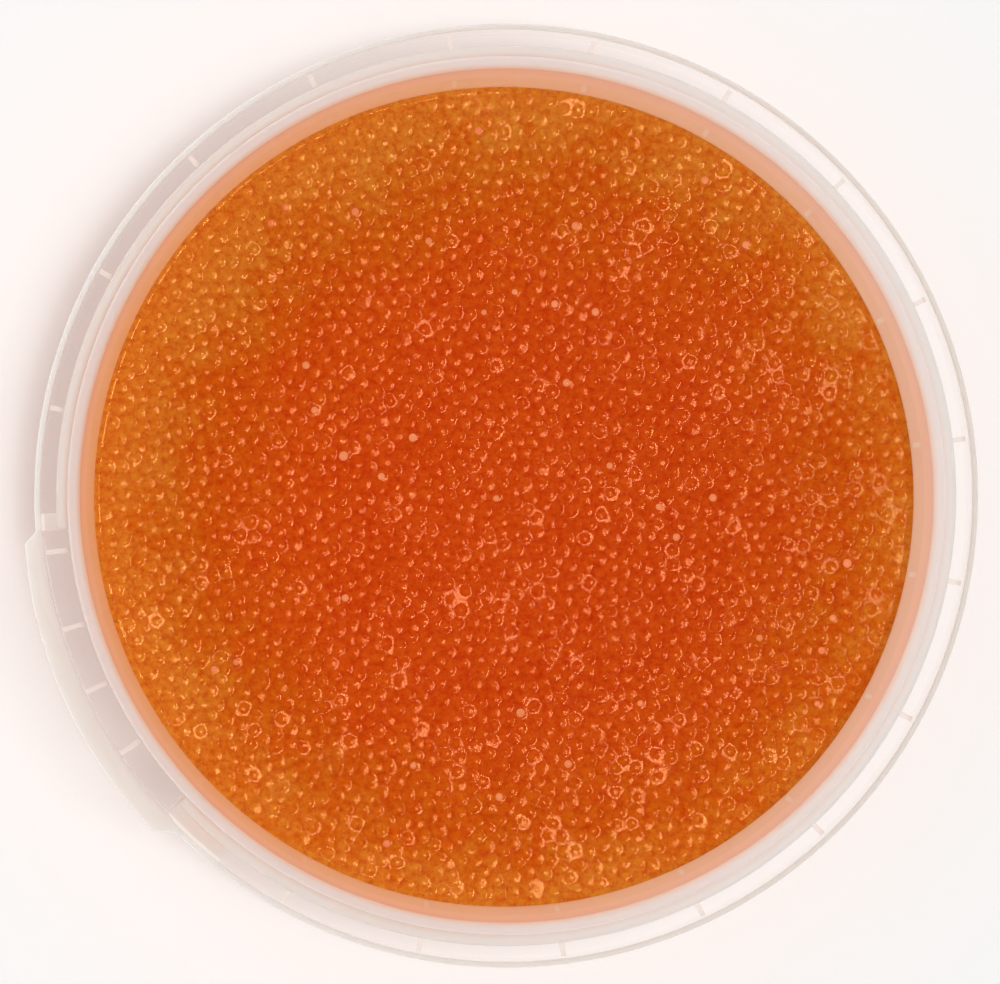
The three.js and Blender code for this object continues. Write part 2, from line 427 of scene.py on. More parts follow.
def tile_corners(places, radius):
    """For each egg, the corners of its tile in turn. Three neighbouring eggs share the corner that
    lies equally far from them. Mirror images of the outer eggs beyond the wall make the outer
    tiles end at it. Returns the owner of each corner, the corner's place, and its distance from
    the egg, sorted by owner and then by direction."""
    reach = np.hypot(*places.T)
    outer = reach > radius - GHOST_REACH
    mirrored = places[outer] * ((2 * radius - reach[outer]) / reach[outer])[:, None]
    everyone = np.concatenate([places, mirrored])
    found = delaunay_2d_cdt([Vector(p) for p in everyone], [], [], 0, 1e-9)
    everyone, triangles = np.array([p[:] for p in found[0]]), np.array(found[2])
    source = np.array([o[0] for o in found[3]])
    a, b, c = (everyone[triangles[:, i]] for i in range(3))
    ab, ac = b - a, c - a
    area = 2 * (ab[:, 0] * ac[:, 1] - ab[:, 1] * ac[:, 0])
    bb, cc = (ab**2).sum(1), (ac**2).sum(1)
    centre = a + np.stack([ac[:, 1] * bb - ab[:, 1] * cc, ab[:, 0] * cc - ac[:, 0] * bb], -1) / area[:, None]
    owner = source[triangles].ravel()
    real = owner < len(places)
    corner = np.repeat(centre, 3, 0)[real]
    at_wall = np.repeat((source[triangles] >= len(places)).any(1), 3)[real]
    owner = owner[real]
    arm = corner - places[owner]
    distance = np.hypot(*arm.T)
    placed = np.where(at_wall[:, None], corner * (radius / np.hypot(*corner.T))[:, None], corner)
    order = np.lexsort((np.arctan2(arm[:, 1], arm[:, 0]), owner))
    return owner[order], placed[order], distance[order], at_wall[order]


def mean_by(owner, values, count):
    """The mean of the values that belong to each owner."""
    return np.bincount(owner, values, count) / np.bincount(owner, minlength=count)


for _ in range(2):
    owner, corner, *_ = tile_corners(eggs, EGG_ZONE)
    centre = np.stack([mean_by(owner, axis, len(eggs)) for axis in corner.T], -1)
    eggs = eggs + SETTLE * (centre - eggs)

owner, corner, distance, at_wall = tile_corners(eggs, EGG_ZONE)
first = np.searchsorted(owner, np.arange(len(eggs)))
last = np.searchsorted(owner, np.arange(len(eggs)), side="right") - 1
following = np.arange(len(owner)) + 1
following[last] = first
print("tile corners:", len(owner), "most distant", round(float(distance.max()), 2), "mm")

# %% [markdown]
# ### Caps and liquid
# Near its middle the egg shows as a shallow cap, falling as the square of the distance. Outside
# the cap the liquid takes over in a narrow hollow round it: its surface starts with the cap's
# slope and is level at the foot of the hollow. A wet egg therefore mirrors the light twice, as a
# spot on the cap and as a thin arc in the hollow. Some eggs stand high, some lie almost under the
# liquid, and each leans its own way, as the liquid round it does.
#
# The caps' radii decide the size of the spots, and the liquid's lean how often an arc closes to a
# ring, so both are given as a mean and a spread.

# %% Sizes of caps and hollows in millimetres
# a cap's radius of curve: mean, spread and range
CAP_CURVE = (3.9, 1.1)
CURVE_RANGE = (1.8, 6.2)
# the hollow's width, and how far from the crown its foot lies: mean and spread
HOLLOW_WIDTH = (0.18, 0.37)
FOOT_RADIUS = (0.74, 0.05)
FOOT_LIMIT = 0.97
CAP_LEAST = 0.5
RISE_LEAST = 0.02
# crowns stray from the egg's middle and lean, the liquid leans less, and heights differ
APEX_SHIFT = 0.08
LEAN = 0.035
LIQUID_LEAN = 0.013
UNEVEN = 0.02
# some eggs lie almost under the liquid, and a few are flat and mirror the whole window
SUNK_SHARE = 0.05
SUNK_CURVE = 6.0
FLAT_SHARE = 0.004
FLAT_CURVE = 8.0
LIGHT_LEAN = math.tan(math.radians(3.2))
LIGHT_AZIMUTH = math.radians(-31)
print("caps curve with a radius of", CAP_CURVE[0], "mm, give or take", CAP_CURVE[1], "mm")

# %% The whole surface's slow swell
BOWL = 0.75
BOWL_LEVEL = 0.85
WAVE = 0.012


def swell(x, y):
    """The height of the whole surface: a very shallow bowl, rising with the square of the distance
    from the axis, with three crossed waves."""
    bowl = BOWL * ((x**2 + y**2) / ROE_RADIUS**2 - BOWL_LEVEL)
    waves = np.sin(x / 5.1 + 1.0) * np.cos(y / 4.3) + 0.5 * np.sin((x + y) / 3.1)
    waves = waves + 0.4 * np.sin((x - 1.7 * y) / 4.0)
    return bowl + WAVE * waves


def swell_slope(x, y, step=0.01):
    """How far the surface's facing direction leans along x and y: minus the rise over a step."""
    along_x = swell(x - step, y) - swell(x + step, y)
    along_y = swell(x, y - step) - swell(x, y + step)
    return np.stack([along_x, along_y], -1) / (2 * step)


print("the bed's middle lies", round(float(swell(ROE_RADIUS, 0.0) - swell(0.0, 0.0)), 2), "mm below its edge")

# %% Points round each tile
middle = (corner + corner[following]) / 2
edge_wall = at_wall & at_wall[following]
middle = np.where(edge_wall[:, None], middle * (EGG_ZONE / np.hypot(*middle.T))[:, None], middle)
rim = np.stack([corner, middle], 1).reshape(-1, 2)
rim_owner = np.repeat(owner, 2)
rim_next = np.stack([np.arange(len(owner)) * 2 + 1, following * 2], 1).ravel()

# a rim point belongs to several eggs: number each place once
_, rim_first, rim_id = np.unique(np.round(rim, 5), axis=0, return_index=True, return_inverse=True)
rim_id = rim_id.ravel()
rim_xy = rim[rim_first]
print("spokes:", len(rim), "rim points:", len(rim_xy))

# %% Each egg's own cap, lean and height
count = len(eggs)
curve = np.clip(rng.normal(*CAP_CURVE, count), *CURVE_RANGE)
curve[rng.random(count) < SUNK_SHARE] = SUNK_CURVE
flat = rng.random(count) < FLAT_SHARE
curve[flat] = FLAT_CURVE
lean = rng.normal(0, LEAN, (count, 2))
lean[flat] = LIGHT_LEAN * np.array([math.cos(LIGHT_AZIMUTH), math.sin(LIGHT_AZIMUTH)])
pool_lean = rng.normal(0, LIQUID_LEAN, (count, 2))
hollow = rng.uniform(*HOLLOW_WIDTH, count)
egg_tint = rng.normal(0, 1, count)
apex = eggs + rng.normal(0, APEX_SHIFT, eggs.shape)

arm = rim - apex[rim_owner]
reach = np.hypot(*arm.T)
toward = arm / reach[:, None]
foot = np.minimum(FOOT_LIMIT * reach, rng.normal(*FOOT_RADIUS, count)[rim_owner])
cap = np.maximum(foot - hollow[rim_owner], CAP_LEAST * foot)
cap_drop = cap**2 / (2 * curve[rim_owner])
foot_drop = cap_drop + cap / curve[rim_owner] * (foot - cap) / 2
rise = np.maximum(np.bincount(rim_owner, foot_drop) / np.bincount(rim_owner), RISE_LEAST)
ground = ROE_LEVEL + swell(*eggs.T) + rng.normal(0, UNEVEN, count)
ground_slope = swell_slope(*eggs.T)
apex_z = ground + rise
rim_z = mean_by(rim_id, ground[rim_owner], len(rim_xy))
print("median radius of a cap's curve", round(float(np.median(curve)), 2), "mm")
print("mean rise of a crown", round(float(rise.mean()), 3), "mm")

# %% Rings of points round the crowns


def ring_points(radius, drop, slope):
    """Points round every egg at a radius on each spoke, a drop below its crown, and the directions
    that they face. The egg's lean tilts the crown and passes, towards the tile's edge, into the
    lean of the liquid round it."""
    out = (radius / reach)[:, None]
    fade = (1 - out) * lean[rim_owner] + out * pool_lean[rim_owner] + ground_slope[rim_owner]
    away = toward * radius[:, None]
    z = apex_z[rim_owner] - drop - (away * fade).sum(1)
    return np.c_[apex[rim_owner] + away, z], np.c_[toward * slope[:, None] + fade, np.ones(len(slope))]


cap_points, cap_faces = ring_points(cap, cap_drop, cap / curve[rim_owner])
foot_points, foot_faces = ring_points(foot, foot_drop, np.zeros(len(foot)))
print("points in the two rings:", len(cap_points) + len(foot_points))

# %% Faces of the tiles
top = len(eggs)
spokes = len(rim)
bed_points = [np.c_[apex, apex_z], cap_points, foot_points, np.c_[rim_xy, rim_z]]
here = np.arange(spokes)
cap_id, foot_id, edge_id = top + here, top + spokes + here, top + 2 * spokes + rim_id
faces = np.stack([rim_owner, cap_id, cap_id[rim_next]], -1).tolist()
faces += np.stack([cap_id, foot_id, foot_id[rim_next], cap_id[rim_next]], -1).tolist()
faces += np.stack([foot_id, edge_id, edge_id[rim_next], foot_id[rim_next]], -1).tolist()
print("faces of the tiles:", len(faces))

# %% [markdown]
# ### Edge and side of the bed
# At the wall the liquid climbs a little, so the bed's edge curves up to a thin line. The rest of
# the bed is the tub's inside form, drawn so that it reaches just into the wall: with a gap there,
# milky plastic would show a dark slit of air between itself and the roe.

# %% Edge, side and underside
INTO_WALL = 0.15
CLIMB = 0.2
side_there = rim_id * len(rim_xy) + rim_id[rim_next]
side_back = rim_id[rim_next] * len(rim_xy) + rim_id
loop = rim_id[~np.isin(side_there, side_back)]
loop = loop[np.argsort(np.arctan2(rim_xy[loop, 1], rim_xy[loop, 0]))]
print("points round the wall:", len(loop))
loop_angle = np.arctan2(rim_xy[loop, 1], rim_xy[loop, 0])
loop_z = rim_z[loop]
edge_level = loop_z.mean()
climb = [(s, s**2) for s in (0.2, 0.4, 0.6, 0.8, 1.0)]
strip = [
    (EGG_ZONE + s * (FILM + INTO_WALL + TAPER * CLIMB), loop_z + (edge_level - loop_z) * s + CLIMB * rise)
    for s, rise in climb
]
side_levels = np.linspace(ROE_LEVEL - 1, FLOOR_TOP + CORNER, 8)
side = [(wall_inner(z) + INTO_WALL, np.full(len(loop), z)) for z in side_levels]
base_radius, base_z = wall_inner(FLOOR_TOP) + INTO_WALL, FLOOR_TOP - INTO_WALL
bend_height = CORNER + INTO_WALL
bend = [
    (base_radius - CORNER * (1 - math.cos(t)), np.full(len(loop), base_z + bend_height * (1 - math.sin(t))))
    for t in np.linspace(0, math.pi / 2, 5)[1:]
]
rows = strip + side + bend
skirt = np.concatenate([np.stack([r * np.cos(loop_angle), r * np.sin(loop_angle), z], -1) for r, z in rows])
count, base = len(loop), top + 2 * spokes + len(rim_xy)
first_row = top + 2 * spokes + loop
row_ids = np.concatenate([first_row[None], base + np.arange(len(rows) * count).reshape(len(rows), count)])
turn = np.roll(row_ids, -1, 1)
faces += np.stack([row_ids[:-1], row_ids[1:], turn[1:], turn[:-1]], -1).reshape(-1, 4).tolist()
pole = base + len(skirt)
faces += np.stack([row_ids[-1], np.full(count, pole), turn[-1]], -1).tolist()
bed_points += [skirt, [[0.0, 0.0, base_z]]]
print("points of edge, side and underside:", len(skirt) + 1)

# %% [markdown]
# ### The bed's mesh
# The mesh carries two numbers at every point for its finish: the egg's own tint, and how deep in
# the hollow the point lies. It also carries its own facing directions. Faces this small would
# mirror a window in facets, so the eggs' directions are taken from the formulas above.

# %% Build the bed of roe
# depths in the hollow: crown, cap's edge, hollow's foot, tile's rim, and the bed's side
HOLLOW_DEPTHS = (0.0, 0.45, 0.9, 1.0, 0.5)
roe = mesh_from("roe_bed", np.concatenate(bed_points), faces)
roe.data.shade_smooth()
rim_tint = mean_by(rim_id, egg_tint[rim_owner], len(rim_xy))
rest = len(skirt) + 1
shade = np.concatenate([egg_tint, egg_tint[rim_owner], egg_tint[rim_owner], rim_tint, np.zeros(rest)])
roe.data.attributes.new("egg_tint", "FLOAT", "POINT").data.foreach_set("value", shade.astype(np.float32))
depth = np.repeat(HOLLOW_DEPTHS, [top, spokes, spokes, len(rim_xy), rest])
roe.data.attributes.new("hollow", "FLOAT", "POINT").data.foreach_set("value", depth.astype(np.float32))
work = bmesh.new()
work.from_mesh(roe.data)
bmesh.ops.recalc_face_normals(work, faces=work.faces)
open_edges = sum(not edge.is_manifold for edge in work.edges)
work.to_mesh(roe.data)
work.free()
triangles = sum(len(p.vertices) - 2 for p in roe.data.polygons)
print("roe bed:", len(eggs), "eggs,", triangles, "triangles,", open_edges, "open edges")

# %% Facing directions of the bed
facing = np.zeros((len(roe.data.vertices), 3), np.float32)
roe.data.vertices.foreach_get("normal", facing.ravel())
apex_faces = np.c_[lean + ground_slope, np.ones(top)]
known = np.concatenate([apex_faces, cap_faces, foot_faces])
facing[: len(known)] = known / np.linalg.norm(known, axis=1, keepdims=True)
rims = np.arange(len(rim_xy)) + top + 2 * spokes
rim_lean = np.stack([mean_by(rim_id, axis, len(rim_xy)) for axis in pool_lean[rim_owner].T], -1)
facing[rims] = np.c_[swell_slope(*rim_xy.T) + rim_lean, np.ones(len(rim_xy))]
facing[rims] /= np.linalg.norm(facing[rims], axis=1, keepdims=True)
roe.data.normals_split_custom_set_from_vertices(facing.tolist())
print("facing directions set:", len(facing), "of them from formulas:", len(known) + len(rims))

# %% [markdown]
# ### Loose eggs
# A few eggs lie on top of the bed, stand proud of the liquid and look paler. They are whole closed
# eggs, smaller and flatter than the rest, each sunk into a place of the bed. Their few faces are
# enough at this size, and all of them are one mesh, since they share one finish.

# %% Loose eggs on top
LOOSE_SHARE = 0.016
LOOSE_HALF = (0.42, 0.62)
LOOSE_FLAT = (0.40, 0.55)
LOOSE_PROUD = (0.04, 0.08)
PALENESS = (0.65, 1.0)
EGG_SEGMENTS = 14
EGG_RINGS = 6

latitude = np.linspace(-math.pi / 2, math.pi / 2, EGG_RINGS + 1)[1:-1]
longitude = np.arange(EGG_SEGMENTS) * 2 * math.pi / EGG_SEGMENTS
girth, level = np.cos(latitude)[:, None], np.sin(latitude)[:, None]
one_egg = np.stack(np.broadcast_arrays(girth * np.cos(longitude), girth * np.sin(longitude), level), -1)
one_egg = np.concatenate([one_egg.reshape(-1, 3), [[0, 0, -1], [0, 0, 1]]])
band = grid_faces(EGG_RINGS - 1, EGG_SEGMENTS, False, True)
south, north = len(one_egg) - 2, len(one_egg) - 1
last_ring = (EGG_RINGS - 2) * EGG_SEGMENTS
around = [(i, (i + 1) % EGG_SEGMENTS) for i in range(EGG_SEGMENTS)]
egg_fans = [(south, b, a) for a, b in around] + [(north, last_ring + a, last_ring + b) for a, b in around]


def whole_eggs(name, places, tops, half, flat, turn):
    """Closed eggs: the unit egg scaled by (half, half, half * flat), turned about Z, its crown at
    the given top."""
    size = np.stack([half, half, half * flat], -1)[:, None]
    c, s = np.cos(turn)[:, None], np.sin(turn)[:, None]
    x, y, z = one_egg.T
    shape = np.stack([x * c - y * s, x * s + y * c, np.broadcast_to(z, (len(places), len(z)))], -1) * size
    centre = np.c_[places, tops - half * flat][:, None]
    points = (shape + centre).reshape(-1, 3)
    base = np.arange(len(places))[:, None, None] * len(one_egg)
    faces = (np.array(band) + base).reshape(-1, 4).tolist()
    faces += (np.array(egg_fans) + base).reshape(-1, 3).tolist()
    return tidy(mesh_from(name, points, faces))


off_wall = np.hypot(*eggs.T) < EGG_ZONE - EGG_PITCH
loose = np.flatnonzero((rng.random(len(eggs)) < LOOSE_SHARE) & ~flat & off_wall)
half = rng.uniform(*LOOSE_HALF, len(loose))
flatness = rng.uniform(*LOOSE_FLAT, len(loose))
tops = apex_z[loose] + rng.uniform(*LOOSE_PROUD, len(loose))
loose_eggs = whole_eggs("loose_eggs", apex[loose], tops, half, flatness, rng.uniform(0, math.pi, len(loose)))
loose_eggs.data.shade_smooth()
paleness = rng.uniform(*PALENESS, len(loose))
loose_pale = np.repeat(paleness, len(one_egg)).astype(np.float32)
loose_eggs.data.attributes.new("paleness", "FLOAT", "POINT").data.foreach_set("value", loose_pale)
print("loose eggs:", len(loose), "with", len(loose_eggs.data.polygons), "faces")

# %% [markdown]
# ## Camera, light and floor
# The photo looks almost straight down, from a little to the tub's left. The light is one soft
# window almost overhead, a little to the right, so that each wet egg mirrors it near its crown,
# and again in the hollow beyond it. The rest of the light comes from all round, brighter at the
# height of the table and dark above, since a bright ceiling would veil the deep orange with grey.

# %% Camera
PHOTO = (1000, 984)
PHOTO_CENTRE = (507.5, 495.0)
PIXEL = 0.1
CAMERA_RISE = 600.0
CAMERA_SIDE = (-17.0, -8.5)
aim_x, aim_y = (PHOTO[0] / 2 - PHOTO_CENTRE[0]) * PIXEL, (PHOTO_CENTRE[1] - PHOTO[1] / 2) * PIXEL
aim = Vector((aim_x, aim_y, TUB_TOP)) * MM
camera_data = bpy.data.cameras.new("camera")
camera = bpy.data.objects.new("camera", camera_data)
bpy.context.scene.collection.objects.link(camera)
bpy.context.scene.camera = camera
camera.location = Vector((CAMERA_SIDE[0], CAMERA_SIDE[1], TUB_TOP + CAMERA_RISE)) * MM
forward = (aim - camera.location).normalized()
right = forward.cross(Vector((0, 1, 0))).normalized()
up = right.cross(forward)
camera.rotation_euler = Matrix((right, up, -forward)).transposed().to_euler()
camera_data.lens = camera_data.sensor_width * (aim - camera.location).length / (PHOTO[0] * PIXEL * MM)
camera_data.clip_end = 20
print(f"lens {camera_data.lens:.0f} mm, tilt {math.degrees(math.acos(-forward.z)):.2f} degrees")

# %% Window
LIGHT_RANGE = 2.4


def window(name, azimuth, elevation, size, watts, colour, distance=LIGHT_RANGE):
    """A soft oblong light that faces the tub from an azimuth and elevation in degrees."""
    data = bpy.data.lights.new(name, "AREA")
    data.shape, data.size, data.size_y = "RECTANGLE", size[0], size[1]
    data.energy, data.color = watts, colour
    lamp = bpy.data.objects.new(name, data)
    a, e = math.radians(azimuth), math.radians(elevation)
    lamp.location = Vector((math.cos(a) * math.cos(e), math.sin(a) * math.cos(e), math.sin(e))) * distance
    lamp.location.z += TUB_TOP * MM
    lamp.rotation_euler = (Vector((0, 0, TUB_TOP * MM)) - lamp.location).to_track_quat("-Z", "Y").to_euler()
    bpy.context.scene.collection.objects.link(lamp)
    return lamp


lamp = window("window_right", -20, 82.3, (0.36, 0.36), 18.5, (1.0, 0.98, 0.96))
print("window at", [round(v, 2) for v in lamp.location], "metres,", lamp.data.energy, "watts")

# %% Light from all round
WALLS = (1.0, 0.975, 0.955, 1)
CEILING = (0.19, 0.187, 0.184, 1)
DIM_SIDE = math.radians(-25)
SIDE_FALL = -0.32
MEAN_STRENGTH = 1.29
world = bpy.data.worlds.new("studio")
bpy.context.scene.world = world
world.use_nodes = True
sky = world.node_tree
background = sky.nodes["Background"]
place = sky.nodes.new("ShaderNodeTexCoord")
split = sky.nodes.new("ShaderNodeSeparateXYZ")
ceiling = sky.nodes.new("ShaderNodeValToRGB")
sky.links.new(place.outputs["Generated"], split.inputs[0])
sky.links.new(split.outputs["Z"], ceiling.inputs[0])
sky.links.new(ceiling.outputs["Color"], background.inputs["Color"])
ceiling.color_ramp.elements[0].position = 0.35
ceiling.color_ramp.elements[0].color = WALLS
ceiling.color_ramp.elements[1].position = 0.70
ceiling.color_ramp.elements[1].color = CEILING
sideways = sky.nodes.new("ShaderNodeVectorMath")
sideways.operation = "DOT_PRODUCT"
sideways.inputs[1].default_value = (math.cos(DIM_SIDE), math.sin(DIM_SIDE), 0)
sky.links.new(place.outputs["Generated"], sideways.inputs[0])
strength = sky.nodes.new("ShaderNodeMath")
strength.operation = "MULTIPLY_ADD"
strength.inputs[1].default_value, strength.inputs[2].default_value = SIDE_FALL, MEAN_STRENGTH
sky.links.new(sideways.outputs["Value"], strength.inputs[0])
sky.links.new(strength.outputs[0], background.inputs["Strength"])
bpy.context.scene.view_settings.view_transform = "Standard"
print("sky nodes:", len(sky.nodes))

# %% Table top
FLOOR_SIZE = 4000.0
floor_corners = FLOOR_SIZE / 2 * np.array([(-1, -1, 0), (1, -1, 0), (1, 1, 0), (-1, 1, 0)])
floor = mesh_from("floor", floor_corners, [(0, 1, 2, 3)])
print("table top:", FLOOR_SIZE * MM, "metres wide")

# %% [markdown]
# ## Finishes
# Each finish is a small graph of nodes that reads the place on the object, so that patterns stay
# put when the piece is seen from another side. Most of its steps are sums, soft steps between two
# radii or heights, and colour ramps, so a helper class gives each of them a short name.

# %% Finish helpers


class Finish:
    """A new material, with short ways to add nodes and wires to its Principled shader."""

    def __init__(self, name):
        self.material = bpy.data.materials.new(name)
        self.material.use_nodes = True
        self.tree = self.material.node_tree
        self.shader = self.tree.nodes["Principled BSDF"]

    def node(self, kind, **settings):
        """Adds a node; settings named after sockets are values, the rest are its properties."""
        made = self.tree.nodes.new(kind)
        for key, value in settings.items():
            if key.startswith("_"):
                made.inputs[key[1:].replace("_", " ")].default_value = value
            else:
                setattr(made, key, value)
        return made

    def wire(self, source, target):
        self.tree.links.new(source, target)

    def math(self, operation, a, b=0.0, clamp=False):
        """One sum: a and b are numbers or outputs."""
        made = self.node("ShaderNodeMath", operation=operation, use_clamp=clamp)
        for socket, value in zip(made.inputs, (a, b)):
            if isinstance(value, (int, float)):
                socket.default_value = value
            else:
                self.wire(value, socket)
        return made.outputs[0]

    def noise(self, where, scale, detail=2.0, rough=0.5):
        """Soft noise from 0 to 1 whose lumps are about 1 / scale metres apart."""
        made = self.node("ShaderNodeTexNoise", _Scale=scale, _Detail=detail, _Roughness=rough)
        self.wire(where, made.inputs["Vector"])
        return made.outputs["Fac"]

    def ramp(self, value, stops):
        """Colours along a value: stops are (position, colour)."""
        made = self.node("ShaderNodeValToRGB")
        while len(made.color_ramp.elements) < len(stops):
            made.color_ramp.elements.new(1.0)
        for element, (position, colour) in zip(made.color_ramp.elements, stops):
            element.position, element.color = position, (*colour, 1)
        self.wire(value, made.inputs[0])
        return made.outputs["Color"]

    def between(self, value, low, high):
        """The value's place from low to high, as 0 to 1 with soft ends."""
        made = self.node("ShaderNodeMapRange", interpolation_type="SMOOTHSTEP")
        self.wire(value, made.inputs["Value"])
        made.inputs["From Min"].default_value, made.inputs["From Max"].default_value = low, high
        return made.outputs["Result"]

    def short_of(self, value, low, high):
        """1 below low and 0 above high, with soft ends between them."""
        return self.math("SUBTRACT", 1.0, self.between(value, low, high))

    def product(self, *values):
        """All the values multiplied, from left to right."""
        result = values[0]
        for value in values[1:]:
            result = self.math("MULTIPLY", result, value)
        return result

    def axes(self, where):
        """The three numbers x, y and z of a place."""
        made = self.node("ShaderNodeSeparateXYZ")
        self.wire(where, made.inputs[0])
        return [made.outputs[name] for name in "XYZ"]

    def own_place(self):
        """The place on the object, in metres."""
        return self.node("ShaderNodeTexCoord").outputs["Object"]

    def stored(self, name):
        """A number that the mesh carries at each point."""
        return self.node("ShaderNodeAttribute", attribute_name=name).outputs["Fac"]

    def uneven(self, where, scale, detail, amount, rough=0.5):
        """Noise about zero, between minus and plus half the amount."""
        about_zero = self.math("SUBTRACT", self.noise(where, scale, detail, rough), 0.5)
        return self.math("MULTIPLY", about_zero, amount)

    def distance(self, x, y, centre):
        """The level distance from a centre given in millimetres: the root of both squares."""
        along = self.math("POWER", self.math("SUBTRACT", x, centre[0] * MM), 2.0)
        across = self.math("POWER", self.math("SUBTRACT", y, centre[1] * MM), 2.0)
        return self.math("SQRT", self.math("ADD", along, across))

    def mixed(self, first, second, factor):
        """The first colour passing into the second, which is an output or three numbers."""
        made = self.node("ShaderNodeMix", data_type="RGBA")
        self.wire(factor, made.inputs["Factor"])
        self.wire(first, made.inputs["A"])
        if isinstance(second, tuple):
            made.inputs["B"].default_value = (*second, 1)
        else:
            self.wire(second, made.inputs["B"])
        return made.outputs["Result"]

    def tinted(self, colour, tint):
        """Two colours multiplied."""
        made = self.node("ShaderNodeMix", data_type="RGBA", blend_type="MULTIPLY", _Factor=1.0)
        self.wire(colour, made.inputs["A"])
        self.wire(tint, made.inputs["B"])
        return made.outputs["Result"]

    def settings(self, **values):
        """Puts values that are the same all over on the shader's own sockets."""
        for name, value in values.items():
            self.shader.inputs[name.replace("_", " ")].default_value = value


print("steps that a finish can use:", sum(not name.startswith("_") for name in vars(Finish)))

# %% [markdown]
# ### The roe's finish
# Real roe is deep red-orange where it is thick. The golden zone near the wall is painted light:
# it stands in for light that comes in through the plastic. The colour therefore follows the
# distance from a centre a little off the axis, moved about by slow noise so that the zones have no
# hard edge, and each egg adds a tint of its own. Painting the zones by hand would be another way,
# but a ramp is easier to match.

# %% Colour of the roe
RED_CENTRE = (2.8, -1.6)
RED_RADIUS = 0.019
GOLD_WIDTH = 0.026
roe_finish = Finish("wet_orange_roe")
place = roe_finish.own_place()
x, y, _ = roe_finish.axes(place)
drift = roe_finish.uneven(place, 130, 3, 0.012)
patch = roe_finish.uneven(place, 450, 3, 0.44, 0.6)
own = roe_finish.math("MULTIPLY", roe_finish.stored("egg_tint"), 0.025)
past_red = roe_finish.math("ADD", roe_finish.distance(x, y, RED_CENTRE), drift)
past_red = roe_finish.math("SUBTRACT", past_red, RED_RADIUS)
towards_wall = roe_finish.math("DIVIDE", past_red, GOLD_WIDTH, clamp=True)
mottle = roe_finish.math("ADD", roe_finish.math("ADD", patch, own), 0.15)
# painted light: the ramp turns from deep red to gold towards the wall, standing in for light through the
# plastic
roe_colour = roe_finish.ramp(
    roe_finish.math("ADD", towards_wall, mottle),
    [
        (0.0, (0.66, 0.058, 0.0032)),
        (0.16, (0.70, 0.076, 0.0048)),
        (0.42, (0.71, 0.092, 0.0050)),
        (0.68, (0.69, 0.118, 0.0050)),
        (0.84, (0.70, 0.168, 0.0100)),
        (1.0, (0.73, 0.236, 0.0240)),
    ],
)
print("the roe turns to gold over", GOLD_WIDTH / MM, "mm")

# %% Painted shade in the hollows and painted light by side of the roe
HALF_BED = 0.040
fine = roe_finish.uneven(place, 1500, 3, 2.9, 0.8)
in_hollow = roe_finish.stored("hollow")
# painted shade: points deep in the hollow between eggs come out darker and redder
hollow_painted_shade = roe_finish.math("MULTIPLY", in_hollow, 0.26)
fine_and_hollow_shade = roe_finish.math("ADD", roe_finish.math("SUBTRACT", fine, hollow_painted_shade), 0.63, clamp=True)
tone = roe_finish.ramp(
    fine_and_hollow_shade, [(0.0, (0.90, 0.60, 0.55)), (0.5, (1.03, 1.03, 1.03)), (1.0, (1.12, 1.42, 1.5))]
)
# painted light by side: warmer and more golden towards -x, duller towards +x, the window's side
side_place = roe_finish.math("DIVIDE", roe_finish.math("ADD", x, HALF_BED), 2 * HALF_BED, clamp=True)
painted_side_light = roe_finish.ramp(
    side_place, [(0.0, (1.07, 0.98, 0.86)), (0.5, (1.0, 1.0, 1.0)), (1.0, (0.94, 0.93, 0.95))]
)
sided = roe_finish.tinted(roe_finish.tinted(roe_colour, tone), painted_side_light)
roe_finish.wire(sided, roe_finish.shader.inputs["Base Color"])
print("nodes of the roe's colour:", len(roe_finish.tree.nodes))

# %% [markdown]
# ### Glints on the roe
# The window is white, but its mirror image in an egg is salmon: the light passes through orange
# liquid, and a camera blurs it with its surroundings. The shader's specular tint does the same
# without a second layer. It is stronger in the hollows, where the arcs are thin, and duller at
# the tub's right side.

# %% Glints and depth of the roe
DULL_SIDE = (0.018, 0.040)
glint = roe_finish.ramp(towards_wall, [(0.3, (0.272, 0.119, 0.053)), (0.9, (0.28, 0.156, 0.057))])
hollow_glint = roe_finish.ramp(in_hollow, [(0.3, (0.92, 0.92, 0.92)), (0.9, (1.4, 1.4, 1.4))])
glinting = roe_finish.tinted(glint, hollow_glint)
# painted shade: the glints grow duller towards +x, the window's side
glint_painted_shade = roe_finish.mixed(glinting, (0.20, 0.12, 0.05), roe_finish.between(x, *DULL_SIDE))
roe_finish.wire(glint_painted_shade, roe_finish.shader.inputs["Specular Tint"])
roe_finish.settings(Roughness=0.06, IOR=1.37, Subsurface_Weight=0.25)
roe_finish.settings(Subsurface_Radius=(1.0, 0.3, 0.1), Subsurface_Scale=0.0012)
roe.data.materials.append(roe_finish.material)
print("nodes of the roe's finish:", len(roe_finish.tree.nodes))

# %% [markdown]
# ### The loose eggs' finish
# The eggs that stand proud look milky and pale in the photo. Each loose egg carries its own
# paleness, and fine noise makes it cloudy. A scattering shader would darken pieces this small, so
# a faint glow stands for the light that is scattered inside them.

